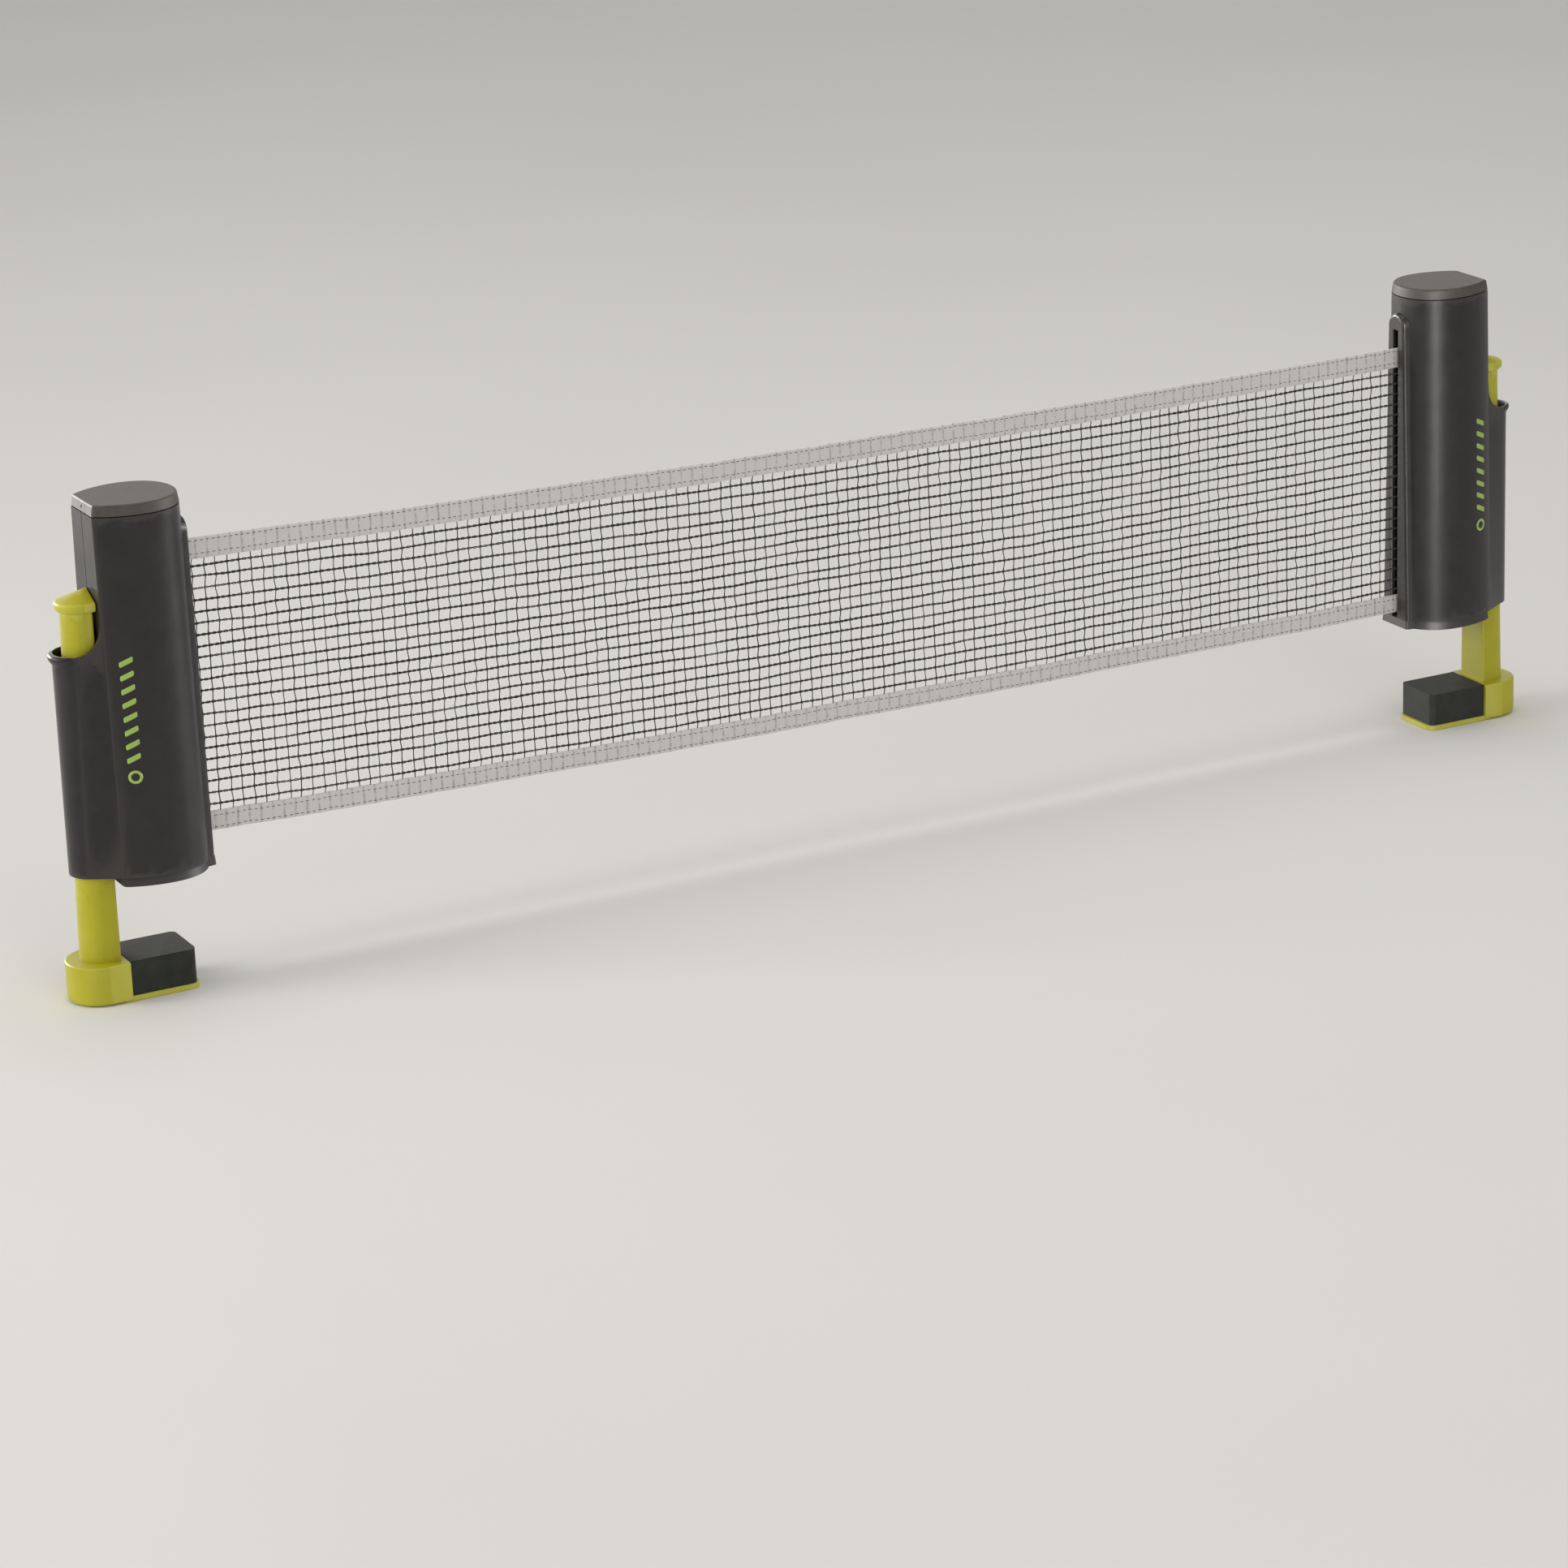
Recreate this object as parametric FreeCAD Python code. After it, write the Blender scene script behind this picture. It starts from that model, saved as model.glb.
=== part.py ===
import FreeCAD, Part
import math
import os
from FreeCAD import Vector as V

os.makedirs("parts", exist_ok=True)

# Retractable table tennis net: two clamp-on posts, each holding a sprung reel, joined by the net.
# Millimetres. Origin: left reel axis where it meets the table top. +X runs along the net, +Z is up,
# -Y is the decorated front. The right post is the left one mirrored about the middle of the net.

# ---------------------------------------------------------------- driving dimensions
POST_PITCH = 722.0        # reel axis to reel axis
FLAT_U = -23.0            # outer flat face of the housing, from the reel axis
Z_BASE = 4.3              # base plate thickness, and the height where the shells start
Z_SHELL = 176.0           # top of the shells
Z_CAP0, Z_CAP1 = 176.5, 181.5
WALL = 2.0
SEAM = 0.05               # half the gap between the two shells

BOSS_U = 25.4             # net-side face of the slotted boss
BOSS_HW_LOW, BOSS_HW_TOP = 11.0, 6.8
BOSS_ARCH_Z, BOSS_TOP_Z = 160.0, 167.0
SLOT_HW, SLOT_TOP = 2.25, 159.0

ROD_IN, ROD_CU, ROD_R = -24.0, -30.5, 10.2    # clamp rod at its foot: inner face, centre of its round side, radius
ROD_TOP_CU, ROD_TOP_R = -28.3, 8.6            # the same at its slimmer top
BAY_CU, BAY_R = -30.5, 10.4                   # guide that the rod slides in
ROD_TOP = 131.0
TABLE_T = 38.0            # jaw opening at rest
FOOT_LOW = -57.5
FOOT_CU, FOOT_R, FOOT_IN = -31.8, 16.0, -22.0
JAW_END = 13.0
PLATE_T = 2.5
PAD_HW = 14.3
COLLAR_R, COLLAR_H, HEAD_TOP = 10.9, 4.5, 140.2
POCKET_CU, POCKET_R = -30.7, 11.3              # round outer end of the pocket
LIP_U, LIP_OUT = -34.0, 44.2                  # flared lip: axis of its sweep, and its reach
RIM_Z, SCOOP_R = 111.3, 12.2

TUBE_R, TUBE_RI = 8.0, 6.5
ROLL_R = 14.0
DRUM_R = 16.3
NET_TOP_L, NET_TOP_R = 155.9, 149.1           # top edge of the net at each reel axis
NET_H = 142.5
NET_SAG = 3.2                                 # how far the net hangs at mid-span
TOP_TAPE, LOW_TAPE = 10.3, 9.5
MESH_T, TAPE_T = 0.5, 1.2

# Half of the housing's plan at the top and at the foot of the shells, from the flat end to the net-side nose.
HALF_TOP = [(-23.0, 13.3), (-17.5, 17.0), (-11.0, 19.8), (-5.0, 21.2), (0.5, 21.6), (6.0, 21.1),
            (11.0, 19.5), (15.4, 16.8), (19.0, 13.1), (21.4, 8.8), (22.7, 4.4), (23.1, 0.0)]
HALF_LOW = [(-23.0, 18.0), (-17.5, 20.8), (-11.0, 22.9), (-5.0, 24.0), (0.5, 24.3), (6.0, 23.8),
            (11.5, 22.1), (16.3, 19.2), (20.2, 15.1), (22.9, 10.3), (24.4, 5.2), (24.9, 0.0)]


# ---------------------------------------------------------------- helpers
def half_at(z):
    """The housing's half plan at height z, in a straight blend from foot to top."""
    k = (z - Z_BASE) / (Z_SHELL - Z_BASE)
    return [(a[0] + k * (b[0] - a[0]), a[1] + k * (b[1] - a[1])) for a, b in zip(HALF_LOW, HALF_TOP)]


def plan_curve(half):
    pts = [V(u, v, 0) for u, v in half] + [V(u, -v, 0) for u, v in reversed(half[:-1])]
    c = Part.BSplineCurve()
    c.interpolate(pts)
    return c


def plan_half(off, z, flat_u, n=13):
    """Half the plan at height z moved inwards by off and ended at flat_u, as n points from the flat end to the nose."""
    half = half_at(z)
    curve = plan_curve(half)
    f = curve.FirstParameter
    mid = curve.parameter(V(half[-1][0], 0, 0))
    raw = []
    for i in range(241):
        t = f + (mid - f) * i / 240.0
        p, d = curve.value(t), curve.tangent(t)
        d = d[0] if isinstance(d, tuple) else d
        nx, ny = d.y, -d.x
        if nx * p.x + ny * p.y > 0:
            nx, ny = -nx, -ny
        raw.append((p.x + nx * off, p.y + ny * off))
    if raw[0][0] > flat_u:      # run the curve on to the flat end
        (x0, y0), (x1, y1) = raw[0], raw[6]
        k = (flat_u - x0) / (x1 - x0)
        raw.insert(0, (flat_u, y0 + k * (y1 - y0)))
    else:
        i = next(j for j, p in enumerate(raw) if p[0] > flat_u)
        (x0, y0), (x1, y1) = raw[i - 1], raw[i]
        k = (flat_u - x0) / (x1 - x0)
        raw = [(flat_u, y0 + k * (y1 - y0))] + raw[i:]
    raw[-1] = (raw[-1][0], 0.0)
    run = [0.0]
    for a, b in zip(raw, raw[1:]):
        run.append(run[-1] + math.hypot(b[0] - a[0], b[1] - a[1]))
    out, j = [], 0
    for i in range(n):
        s = run[-1] * i / (n - 1)
        while j < len(run) - 2 and run[j + 1] < s:
            j += 1
        k = (s - run[j]) / (run[j + 1] - run[j])
        out.append((raw[j][0] + k * (raw[j + 1][0] - raw[j][0]), raw[j][1] + k * (raw[j + 1][1] - raw[j][1])))
    out[-1] = (out[-1][0], 0.0)
    return out


def plan_wire(off, z, flat_u=FLAT_U, shape_z=None):
    half = plan_half(off, z if shape_z is None else shape_z, flat_u)
    pts = [V(u, v, z) for u, v in half] + [V(u, -v, z) for u, v in reversed(half[:-1])]
    c = Part.BSplineCurve()
    c.interpolate(pts)
    return Part.Wire([c.toShape(), Part.LineSegment(pts[-1], pts[0]).toShape()])


def loft(*wires):
    return Part.makeLoft(list(wires), True, True)


def prism(wire, dz):
    return Part.Face(wire).extrude(V(0, 0, dz))


def u_wire(z, cu, r, inner):
    """A U in plan: half round on the outer side, straight sides, flat inner side."""
    a, b, c, d, e = V(inner, r, z), V(cu, r, z), V(cu - r, 0, z), V(cu, -r, z), V(inner, -r, z)
    return Part.Wire([Part.LineSegment(a, b).toShape(), Part.Arc(b, c, d).toShape(),
                      Part.LineSegment(d, e).toShape(), Part.LineSegment(e, a).toShape()])


def box(u0, u1, v0, v1, z0, z1):
    return Part.makeBox(u1 - u0, v1 - v0, z1 - z0, V(u0, v0, z0))


def cyl(r, z0, z1, u=0.0, v=0.0):
    return Part.makeCylinder(r, z1 - z0, V(u, v, z0))


def arch_wire(u, hw_low, hw_top, z_low, z_arch, z_top):
    a, b, c, d, e = (V(u, -hw_low, z_low), V(u, -hw_top, z_arch), V(u, 0, z_top),
                     V(u, hw_top, z_arch), V(u, hw_low, z_low))
    return Part.Wire([Part.LineSegment(a, b).toShape(), Part.Arc(b, c, d).toShape(),
                      Part.LineSegment(d, e).toShape(), Part.LineSegment(e, a).toShape()])


def poly(pts, normal_dz=None):
    return Part.Wire([Part.LineSegment(p, q).toShape() for p, q in zip(pts, pts[1:] + pts[:1])])


def round_edges(shape, r, pick):
    """Rounds the edges that pick() names, and keeps the plain shape where the kernel can't."""
    edges = [e for e in shape.Edges if pick(e)]
    if not edges:
        print("no edge picked for radius", r)
        return shape
    try:
        out = shape.makeFillet(r, edges)
        if out.isValid() and out.Volume > 0.5 * shape.Volume:
            return out
    except Exception as err:
        print("fillet", r, "left out:", err)
    return shape


def solid_of(shape):
    s = shape.removeSplitter()
    found = s.Solids
    if len(found) == 1:
        return found[0]
    found = sorted(found, key=lambda x: -x.Volume)
    print("  kept the largest of", len(found), "solids", [round(x.Volume, 2) for x in found])
    return found[0]


# ---------------------------------------------------------------- housing
def pocket_wire(z, inset=0.0):
    """Plan of the clamp pocket: straight sides run from the housing's corners to a round end."""
    corner = half_at(z)[0][1]
    r = POCKET_R + 0.3 * (Z_SHELL - z) / Z_SHELL - inset
    du, dv = FLAT_U - POCKET_CU, corner - inset
    ang = math.atan2(dv, du) + math.acos(r / math.hypot(du, dv))
    tu, tv = POCKET_CU + r * math.cos(ang), r * math.sin(ang)
    k = (dv - tv) / (FLAT_U - tu)
    inner = FLAT_U + 2.2 if inset == 0.0 else FLAT_U
    iv = dv + k * (inner - FLAT_U)
    a, b, c, d, e = V(inner, iv, z), V(tu, tv, z), V(POCKET_CU - r, 0, z), V(tu, -tv, z), V(inner, -iv, z)
    return Part.Wire([Part.LineSegment(a, b).toShape(), Part.Arc(b, c, d).toShape(),
                      Part.LineSegment(d, e).toShape(), Part.LineSegment(e, a).toShape()])


def lip_ring():
    """Flared lip round the pocket's mouth, as a full ring; its inner side sinks into the walls."""
    reach = LIP_OUT + LIP_U
    prof = [(6.0, -12.0), (reach - 3.9, -12.0), (reach - 3.55, -9.4), (reach - 2.5, -6.4), (reach - 0.9, -3.7),
            (reach - 0.15, -2.4), (reach, -1.5), (reach - 0.2, -0.7), (reach - 0.8, -0.1), (reach - 1.7, 0.15), (6.0, 0.15)]
    pts = [V(LIP_U + r, 0, RIM_Z + z) for r, z in prof]
    curve = Part.BSplineCurve()
    curve.interpolate(pts[1:-1])
    side = Part.Wire([curve.toShape(), Part.LineSegment(pts[-2], pts[-1]).toShape(),
                      Part.LineSegment(pts[-1], pts[0]).toShape(), Part.LineSegment(pts[0], pts[1]).toShape()])
    return Part.Face(side).revolve(V(LIP_U, 0, 0), V(0, 0, 1), 360)


def housing():
    foot = Z_BASE - 4.0        # made longer, then trimmed, so that the rounded edges run out cleanly
    body = loft(plan_wire(0.0, foot), plan_wire(0.0, Z_SHELL))
    body = round_edges(body, 1.2, lambda e: abs(e.BoundBox.ZLength - (Z_SHELL - foot)) < 0.01
                       and e.BoundBox.XMax < FLAT_U + 0.5)
    boss = loft(arch_wire(10.0, BOSS_HW_LOW + 4.2, BOSS_HW_TOP + 4.2, foot, BOSS_ARCH_Z + 1.5, BOSS_TOP_Z + 5.5),
                arch_wire(BOSS_U, BOSS_HW_LOW, BOSS_HW_TOP, foot, BOSS_ARCH_Z, BOSS_TOP_Z))
    boss = round_edges(boss, 1.8, lambda e: e.BoundBox.XMin > BOSS_U - 0.01 and e.BoundBox.ZMax > foot + 0.1)
    body = body.fuse(boss).removeSplitter()
    # soft valley where the boss rises out of the wall
    body = round_edges(body, 2.5, lambda e: 12.0 < e.BoundBox.XMin and e.BoundBox.XMax < BOSS_U - 1.0
                       and e.BoundBox.ZMin < Z_SHELL - 2 and e.BoundBox.ZMax > foot + 1)
    body = body.cut(box(-60, 60, -60, 60, foot - 10, Z_BASE))
    # pocket that the clamp rod slides in
    pocket = loft(pocket_wire(Z_BASE), pocket_wire(126.0)).fuse(lip_ring()).removeSplitter()
    # scooped mouth
    z0 = RIM_Z
    cu = FLAT_U - SCOOP_R
    a, b = V(-60, 0, z0), V(cu, 0, z0)
    m = V(cu + SCOOP_R * math.sin(math.radians(45)), 0, z0 + SCOOP_R * (1 - math.cos(math.radians(45))))
    c = V(FLAT_U, 0, z0 + SCOOP_R)
    face = Part.Face(Part.Wire([Part.LineSegment(a, b).toShape(), Part.Arc(b, m, c).toShape(),
                                Part.LineSegment(c, V(FLAT_U, 0, 140)).toShape(),
                                Part.LineSegment(V(FLAT_U, 0, 140), V(-60, 0, 140)).toShape(),
                                Part.LineSegment(V(-60, 0, 140), a).toShape()]))
    scoop = face.extrude(V(0, 60, 0))
    scoop.translate(V(0, -30, 0))
    bay = prism(u_wire(Z_BASE - 2, BAY_CU, BAY_R, FLAT_U), 140)
    mouth = loft(u_wire(101.0, BAY_CU, BAY_R, FLAT_U), u_wire(114.0, BAY_CU, BAY_R + 0.9, FLAT_U))
    mouth = mouth.fuse(prism(u_wire(114.0, BAY_CU, BAY_R + 0.9, FLAT_U), 20))
    room = box(-80, FLAT_U, -40, 40, -10, 200)
    pocket = pocket.cut(scoop).cut(bay).cut(mouth)
    pocket = pocket.cut(box(FLAT_U + 2.2, 60, -60, 60, -10, 200)).removeSplitter()
    # the side walls are cored out from below, clear of the rod's guide
    core = loft(pocket_wire(Z_BASE - 0.01, WALL), pocket_wire(96.0, WALL)).cut(
        prism(u_wire(-20, BAY_CU, BAY_R + 1.3, FLAT_U + 1), 140)).common(room)
    pocket = pocket.cut(core)

    out = body.fuse(pocket).removeSplitter()
    hollow = loft(plan_wire(WALL, Z_BASE, FLAT_U + WALL), plan_wire(WALL, Z_SHELL, FLAT_U + WALL))
    hollow = hollow.fuse([prism(plan_wire(WALL, Z_BASE - 3, FLAT_U + WALL, Z_BASE), 3.0),
                          prism(plan_wire(WALL, Z_SHELL, FLAT_U + WALL), 3.0)])
    throat = loft(arch_wire(8.0, BOSS_HW_LOW + 2.2, BOSS_HW_TOP + 2.2, Z_BASE - 3, BOSS_ARCH_Z, BOSS_TOP_Z + 2.0),
                  arch_wire(BOSS_U - WALL, BOSS_HW_LOW - WALL, BOSS_HW_TOP - WALL, Z_BASE - 3, BOSS_ARCH_Z - 2.5, BOSS_TOP_Z - 3.0))
    out = out.cut(hollow.fuse(throat))
    out = out.cut(box(8, 40, -SLOT_HW, SLOT_HW, Z_BASE - 3, SLOT_TOP))
    # ledges that carry the anchor plate
    for u in (-8.0, 6.5):
        for s in (-1, 1):
            v0, v1 = sorted((s * 17.4, s * 20.7))
            out = out.fuse(box(u, u + 1.6, v0, v1, 150.0, 171.5))
    # screw posts for the base plate
    for s in (-1, 1):
        v0, v1 = sorted((s * 10.2, s * 12.2))
        post = cyl(3.2, Z_BASE, 24.0, -16.6, s * 11.2).fuse(box(-21.6, -16.6, v0, v1, Z_BASE, 24.0))
        out = out.fuse(post).cut(cyl(1.40, Z_BASE - 1, 19.0, -16.6, s * 11.2))
    # tongue that the clamp spring stands on
    out = out.fuse(box(-30.4, FLAT_U + 0.5, -3.2, 3.2, 72.0, 76.0))
    # seam groove down the flat outer face
    g = poly([V(FLAT_U - 0.2, -0.55, 100), V(FLAT_U - 0.2, 0.55, 100), V(FLAT_U + 0.35, 0, 100)])
    out = out.cut(prism(g, 90))
    return out.removeSplitter()


def shells():
    """The housing split down its middle plane. It is symmetric, so the front shell mirrors the rear one."""
    rear = solid_of(housing().cut(box(-80, 60, -60, SEAM, -20, 220)))
    return solid_of(rear.mirror(V(0, 0, 0), V(0, 1, 0))), rear


def cap():
    top = loft(plan_wire(0.05, Z_CAP0, FLAT_U + 0.05, Z_SHELL), plan_wire(0.9, Z_CAP1, FLAT_U + 0.9, Z_SHELL))
    top = round_edges(top, 1.3, lambda e: abs(e.BoundBox.ZLength - 5.0) < 0.01)
    top = round_edges(top, 1.1, lambda e: e.BoundBox.ZMin > Z_CAP1 - 0.01)
    skirt = prism(plan_wire(WALL + 0.3, 174.0, FLAT_U + WALL + 0.3, Z_SHELL), Z_CAP0 - 174.0 + 0.5)
    skirt = skirt.cut(prism(plan_wire(WALL + 1.9, 173.0, FLAT_U + WALL + 1.9, Z_SHELL), 10))
    out = top.fuse(skirt)
    # pin hole in the flat side
    pin = Part.makeCylinder(0.75, 2.0, V(FLAT_U - 1.0, 0, 178.7), V(1, 0, 0))
    return solid_of(out.cut(pin))


def base_plate():
    plate = loft(plan_wire(0.5, 0.0, -22.6, Z_BASE), plan_wire(1.3, Z_BASE, -22.6))
    plate = round_edges(plate, 3.0, lambda e: e.BoundBox.ZLength > 4.2 and e.BoundBox.XMax < -20)
    nose0 = poly([V(6, -15.1, 0), V(25.8, -11.4, 0), V(25.8, 11.4, 0), V(6, 15.1, 0)])
    nose1 = poly([V(6, -14.6, Z_BASE), V(25.5, -11.1, Z_BASE), V(25.5, 11.1, Z_BASE), V(6, 14.6, Z_BASE)])
    nose = loft(nose0, nose1)
    nose = round_edges(nose, 1.2, lambda e: e.BoundBox.ZLength > 4.2 and e.BoundBox.XMin > 20)
    out = plate.fuse(nose)
    out = out.fuse(cyl(2.5, Z_BASE - 0.5, 13.5))
    out = round_edges(out, 0.6, lambda e: e.BoundBox.ZMin > 13.4)
    for s in (-1, 1):
        out = out.cut(cyl(1.6, -1, 6, -16.6, s * 11.2)).cut(cyl(2.9, -1, 1.8, -16.6, s * 11.2))
    return solid_of(out)


def base_screws():
    out = []
    for s in (-1, 1):
        u, v = -16.6, s * 11.2
        sc = cyl(2.7, 0.25, 1.8, u, v).fuse(cyl(1.35, 1.5, 16.5, u, v))
        sc = sc.cut(box(u - 1.7, u + 1.7, v - 0.35, v + 0.35, -1, 1.1)).cut(box(u - 0.35, u + 0.35, v - 1.7, v + 1.7, -1, 1.1))
        out.append(solid_of(sc))
    return Part.makeCompound(out)


# ---------------------------------------------------------------- clamp
def clamp_arm():
    rod = loft(u_wire(-40.0, ROD_CU, ROD_R, ROD_IN), u_wire(ROD_TOP, ROD_TOP_CU, ROD_TOP_R, ROD_IN))
    rod = round_edges(rod, 1.2, lambda e: e.BoundBox.ZLength > 100 and e.BoundBox.XMin > ROD_IN - 0.01)
    foot = prism(u_wire(FOOT_LOW, FOOT_CU, FOOT_R, FOOT_IN), -TABLE_T - FOOT_LOW)
    foot = round_edges(foot, 1.0, lambda e: e.BoundBox.ZMin > -TABLE_T - 0.01 and e.BoundBox.XMin < FOOT_IN - 0.5)
    foot = round_edges(foot, 2.6, lambda e: e.BoundBox.ZMax < FOOT_LOW + 0.01 and e.BoundBox.XMin < FOOT_IN - 0.5)
    z = FOOT_LOW
    r = 5.0
    pts = [V(FOOT_IN - 3, -15.0, z), V(JAW_END - r, -15.0, z), V(JAW_END, -15.0 + r, z), V(JAW_END, 15.0 - r, z),
           V(JAW_END - r, 15.0, z), V(FOOT_IN - 3, 15.0, z)]
    k = r * (1 - math.cos(math.radians(45)))
    plate = Part.Wire([Part.LineSegment(pts[0], pts[1]).toShape(),
                       Part.Arc(pts[1], V(JAW_END - k, -15.0 + k, z), pts[2]).toShape(),
                       Part.LineSegment(pts[2], pts[3]).toShape(),
                       Part.Arc(pts[3], V(JAW_END - k, 15.0 - k, z), pts[4]).toShape(),
                       Part.LineSegment(pts[4], pts[5]).toShape(), Part.LineSegment(pts[5], pts[0]).toShape()])
    out = rod.fuse([foot, prism(plate, PLATE_T)])
    # channel for the spring, open towards the housing
    out = out.cut(box(-31.0, ROD_IN + 1, -3.6, 3.6, 20.0, 118.0))
    # socket for the thumb cap's spigot
    out = out.cut(box(-33.6, -26.9, -4.6, 4.6, 123.8, ROD_TOP + 1))
    return solid_of(out)


def thumb_cap():
    z0, z1, r = ROD_TOP, ROD_TOP + COLLAR_H, COLLAR_R
    steps = [(0.0, -1.3), (0.35, -0.75), (0.8, -0.3), (1.4, -0.03), (1.9, 0.0), (COLLAR_H - 1.3, 0.0),
             (COLLAR_H - 0.75, -0.1), (COLLAR_H - 0.3, -0.4), (COLLAR_H, -0.95)]
    collar = Part.makeLoft([u_wire(z0 + z, ROD_TOP_CU, r + d, -23.5) for z, d in steps], True, True)
    roof = Part.makeLoft([u_wire(z1, ROD_TOP_CU, r - 0.95, -23.5), u_wire(HEAD_TOP - 0.25, -24.35, 0.85, -23.5),
                          u_wire(HEAD_TOP, -24.0, 0.45, -23.5)], True, True)
    spigot = box(-33.5, -27.0, -4.5, 4.5, 124.0, z0 + 0.5)
    spigot = round_edges(spigot, 0.5, lambda e: e.BoundBox.ZMax < 124.01)
    return solid_of(collar.fuse([roof, spigot]))


def jaw_pad():
    pad = box(FOOT_IN + 0.05, 11.5, -PAD_HW, PAD_HW, FOOT_LOW + PLATE_T, -TABLE_T)
    pad = round_edges(pad, 3.0, lambda e: e.BoundBox.ZLength > 10 and e.BoundBox.XMin > 11)
    return solid_of(pad)


def coil(u, z0, z1, r, wire, turns):
    """Round-wire compression spring with closed ends of its own wire."""
    pitch = (z1 - z0 - wire) / turns
    path = Part.makeHelix(pitch, z1 - z0 - wire, r)
    prof = Part.Wire([Part.makeCircle(wire / 2.0, V(r, 0, 0), V(0, 1, 0))])
    body = Part.Wire(path.Edges).makePipeShell([prof], True, True)
    body.translate(V(u, 0, z0 + wire / 2.0))
    return body.Solids[0] if body.Solids else Part.Solid(body.Shells[0])


# ---------------------------------------------------------------- reel
def reel_tube():
    tube = cyl(TUBE_R, 6.3, 159.5).cut(cyl(TUBE_RI, 0, 170))
    groove = box(-8.6, -7.0, -1.6, 1.6, 12.0, 156.8)
    return solid_of(tube.cut(groove))


def net_keeper():
    k = box(-7.95, -7.05, -1.5, 1.5, 12.5, 156.3).common(cyl(TUBE_R, 0, 170))
    return solid_of(k)


def lower_hub():
    hub = cyl(12.0, 4.6, 6.2).fuse(cyl(TUBE_RI - 0.05, 6.0, 22.0)).cut(cyl(2.56, 0, 14.0))
    return solid_of(hub)


def net_roll(z_top):
    roll = cyl(ROLL_R, z_top - NET_H, z_top).cut(cyl(TUBE_R + 0.1, 0, 200))
    roll = round_edges(roll, 0.8, lambda e: e.BoundBox.XLength > 27.9 and e.BoundBox.ZLength < 0.01)
    return solid_of(roll)


def spring_drum():
    d = cyl(DRUM_R, 159.6, 171.0).cut(cyl(DRUM_R - 1.4, 161.2, 180))
    d = d.fuse(cyl(TUBE_RI - 0.05, 150.0, 160.0)).cut(cyl(2.06, 140, 170))
    return solid_of(d)


def spring_arbor():
    plate = prism(plan_wire(WALL + 0.35, 171.5, FLAT_U + WALL + 0.35, Z_SHELL), 2.5)
    a = plate.fuse([cyl(3.2, 161.5, 172.0), cyl(2.0, 154.0, 162.0)])
    return solid_of(a)


def recoil_spring():
    """Flat strip wound in a spiral between the arbor and the drum wall."""
    t, r0, r1, turns = 0.35, 3.6, 14.3, 6.5
    n = int(turns * 24)
    inner, outer = [], []
    for i in range(n + 1):
        a = 2 * math.pi * turns * i / n
        r = r0 + (r1 - r0) * i / n
        inner.append(V(r * math.cos(a), r * math.sin(a), 162.3))
        outer.append(V((r + t) * math.cos(a), (r + t) * math.sin(a), 162.3))
    ci, co = Part.BSplineCurve(), Part.BSplineCurve()
    ci.interpolate(inner)
    co.interpolate(outer)
    w = Part.Wire([ci.toShape(), Part.LineSegment(inner[-1], outer[-1]).toShape(), co.toShape(),
                   Part.LineSegment(outer[0], inner[0]).toShape()])
    return solid_of(Part.Face(w).extrude(V(0, 0, 7.0)))


# ---------------------------------------------------------------- net
def net_strip(below_top, height, thick):
    """A strip of the net at a given depth below its top edge, from the left roll to the right one."""
    r = ROLL_R + 0.9
    bend = BOSS_U - 1.0
    ang = math.asin(r / bend)
    run = bend * math.cos(ang)
    su, sv = bend - run * math.cos(ang), -run * math.sin(ang)
    span = POST_PITCH - 2.0 * bend
    line = [(su, sv)] + [(bend + span * k / 8.0, 0.0) for k in range(9)] + [(POST_PITCH - su, sv)]
    slope = (NET_TOP_R - NET_TOP_L) / POST_PITCH
    wires = []
    for i, (x, y) in enumerate(line):
        dirs = []
        for a, b in ((i - 1, i), (i, i + 1)):
            if a >= 0 and b < len(line):
                d = V(line[b][0] - line[a][0], line[b][1] - line[a][1], 0)
                dirs.append(d.normalize())
        t = dirs[0] + dirs[-1] if len(dirs) > 1 else dirs[0]
        t.normalize()
        nrm = V(-t.y, t.x, 0)
        w = thick / 2.0 / (nrm.dot(V(-dirs[0].y, dirs[0].x, 0)))
        t = min(max((x - bend) / span, 0.0), 1.0)
        top = NET_TOP_L + slope * x - below_top - NET_SAG * 4.0 * t * (1.0 - t)
        a, b = V(x, y, 0) - nrm * w, V(x, y, 0) + nrm * w
        wires.append(poly([V(a.x, a.y, top - height), V(b.x, b.y, top - height), V(b.x, b.y, top), V(a.x, a.y, top)]))
    return solid_of(Part.makeLoft(wires, True, True))


# ---------------------------------------------------------------- write
def mirrored(shape):
    return shape.mirror(V(POST_PITCH / 2.0, 0, 0), V(1, 0, 0))


def write(node, shape):
    n = len(shape.Solids)
    ok = shape.isValid() and all(s.isClosed() for s in shape.Solids)
    print(f"{node:24s} solids {n} valid {ok} volume {shape.Volume:10.1f}  "
          f"x {shape.BoundBox.XMin:7.2f} {shape.BoundBox.XMax:7.2f}  y {shape.BoundBox.YMin:6.2f} {shape.BoundBox.YMax:6.2f}  "
          f"z {shape.BoundBox.ZMin:7.2f} {shape.BoundBox.ZMax:7.2f}")
    shape.exportStep(f"parts/{node}.step")


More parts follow.
